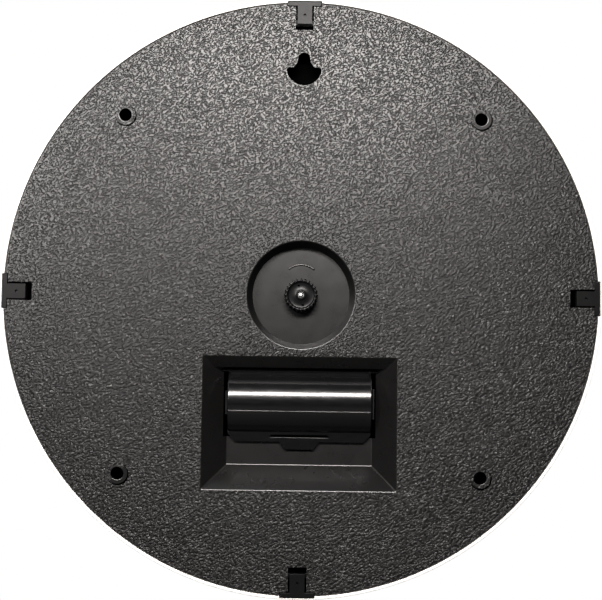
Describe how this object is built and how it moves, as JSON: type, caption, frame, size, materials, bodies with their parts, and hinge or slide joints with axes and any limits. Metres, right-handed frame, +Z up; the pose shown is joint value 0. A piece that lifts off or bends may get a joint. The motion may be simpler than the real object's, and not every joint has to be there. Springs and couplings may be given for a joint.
{
  "type": "wall clock",
  "caption": "Round battery wall clock with black grained back case in a white rim, keyhole hanger, hand-setting knob and hooded battery door.",
  "frame": {"origin": "the hang point: the centre of the keyhole's round neck, in the back plane", "axes": "+Z up towards 12 o'clock, +Y out of the back towards the wall, -Y the way the dial faces, +X to the right seen from the dial side"},
  "size_m": [0.253, 0.05, 0.253],
  "materials": {
    "case_black": "moulded black plastic with a fine leather grain on the back face, smooth in the wells",
    "smooth_black": "smooth satin black plastic",
    "door_black": "smooth black plastic with a broad highlight along the hood",
    "rim_white": "smooth off-white plastic",
    "lens_clear": "flat clear lens",
    "carrier_grey": "plain moulded plastic",
    "dial_white": null,
    "steel": "bright plated steel",
    "brass": "turned brass",
    "cell_sleeve": "plain sleeve with a bright plus end, no print",
    "lead_red": "insulated wire",
    "lead_black": "insulated wire",
    "movement_black": "plain moulded plastic",
    "board_green": "solder mask",
    "coil_copper": "enamelled copper winding",
    "gear_plastic": "natural acetal",
    "washer_rubber": "plain rubber",
    "hand_black": "satin black paint"
  },
  "bodies": {
    "clock_body": {"back_case": "case_black", "bezel_ring": "rim_white", "lens_glass": "lens_clear", "spacer_ring": "rim_white", "dial_carrier": "carrier_grey", "dial_face": "dial_white", "rim_clip_top": "smooth_black", "rim_clip_right": "smooth_black", "rim_clip_bottom": "smooth_black", "rim_clip_left": "smooth_black", "case_screw_1": "steel", "case_screw_2": "steel", "case_screw_3": "steel", "case_screw_4": "steel", "battery_cell": "cell_sleeve", "contact_plate": "steel", "contact_spring": "steel", "lead_positive": "lead_red", "lead_negative": "lead_black", "movement_frame": "movement_black", "movement_cover": "movement_black", "circuit_board": "board_green", "crystal_can": "steel", "clock_chip": "movement_black", "coil": "coil_copper", "coil_core": "steel", "stator": "steel", "centre_bush": "brass", "rubber_washer": "washer_rubber", "fixing_nut": "brass"},
    "door": {"battery_door": "door_black"},
    "minute_works": {"minute_arbor": "steel", "setting_knob": "smooth_black", "friction_washer": "steel", "minute_hand": "hand_black", "hand_cap": "hand_black"},
    "motion_works": {"motion_wheel": "gear_plastic"},
    "hour_works": {"hour_wheel": "gear_plastic", "hour_hand": "hand_black"},
    "centre_works": {"centre_wheel": "gear_plastic"},
    "third_works": {"third_wheel": "gear_plastic"},
    "second_works": {"second_wheel": "gear_plastic"},
    "rotor_works": {"rotor": "gear_plastic"}
  },
  "joints": [
    {"name": "door_hinge", "type": "hinge", "parent": "clock_body", "child": "door", "pos_m": [0, -0.0086, -0.1328], "axis": [1, 0, 0], "range_deg": [0, 70]},
    {"name": "minute_spin", "type": "hinge", "parent": "clock_body", "child": "minute_works", "pos_m": [0, -0.02, -0.1008], "axis": [0, 1, 0], "continuous": true},
    {"name": "motion_spin", "type": "hinge", "parent": "clock_body", "child": "motion_works", "pos_m": [0.00849, -0.028, -0.10929], "axis": [0, 1, 0], "continuous": true},
    {"name": "hour_spin", "type": "hinge", "parent": "clock_body", "child": "hour_works", "pos_m": [0, -0.03, -0.1008], "axis": [0, 1, 0], "continuous": true},
    {"name": "rotor_spin", "type": "hinge", "parent": "clock_body", "child": "rotor_works", "pos_m": [-0.01033, -0.02, -0.09104], "axis": [0, 1, 0], "continuous": true},
    {"name": "second_spin", "type": "hinge", "parent": "clock_body", "child": "second_works", "pos_m": [0.00057, -0.02, -0.08707], "axis": [0, 1, 0], "continuous": true},
    {"name": "third_spin", "type": "hinge", "parent": "clock_body", "child": "third_works", "pos_m": [0.01072, -0.02, -0.0918], "axis": [0, 1, 0], "continuous": true},
    {"name": "centre_spin", "type": "hinge", "parent": "clock_body", "child": "centre_works", "pos_m": [0, -0.025, -0.1008], "axis": [0, 1, 0], "continuous": true}
  ],
  "couplings": [
    {"joint": "motion_spin", "follows": "minute_spin", "ratio": -0.33333},
    {"joint": "hour_spin", "follows": "minute_spin", "ratio": 0.083333},
    {"joint": "second_spin", "follows": "rotor_spin", "ratio": -0.16},
    {"joint": "third_spin", "follows": "rotor_spin", "ratio": 0.026667},
    {"joint": "centre_spin", "follows": "rotor_spin", "ratio": -0.0044444}
  ]
}
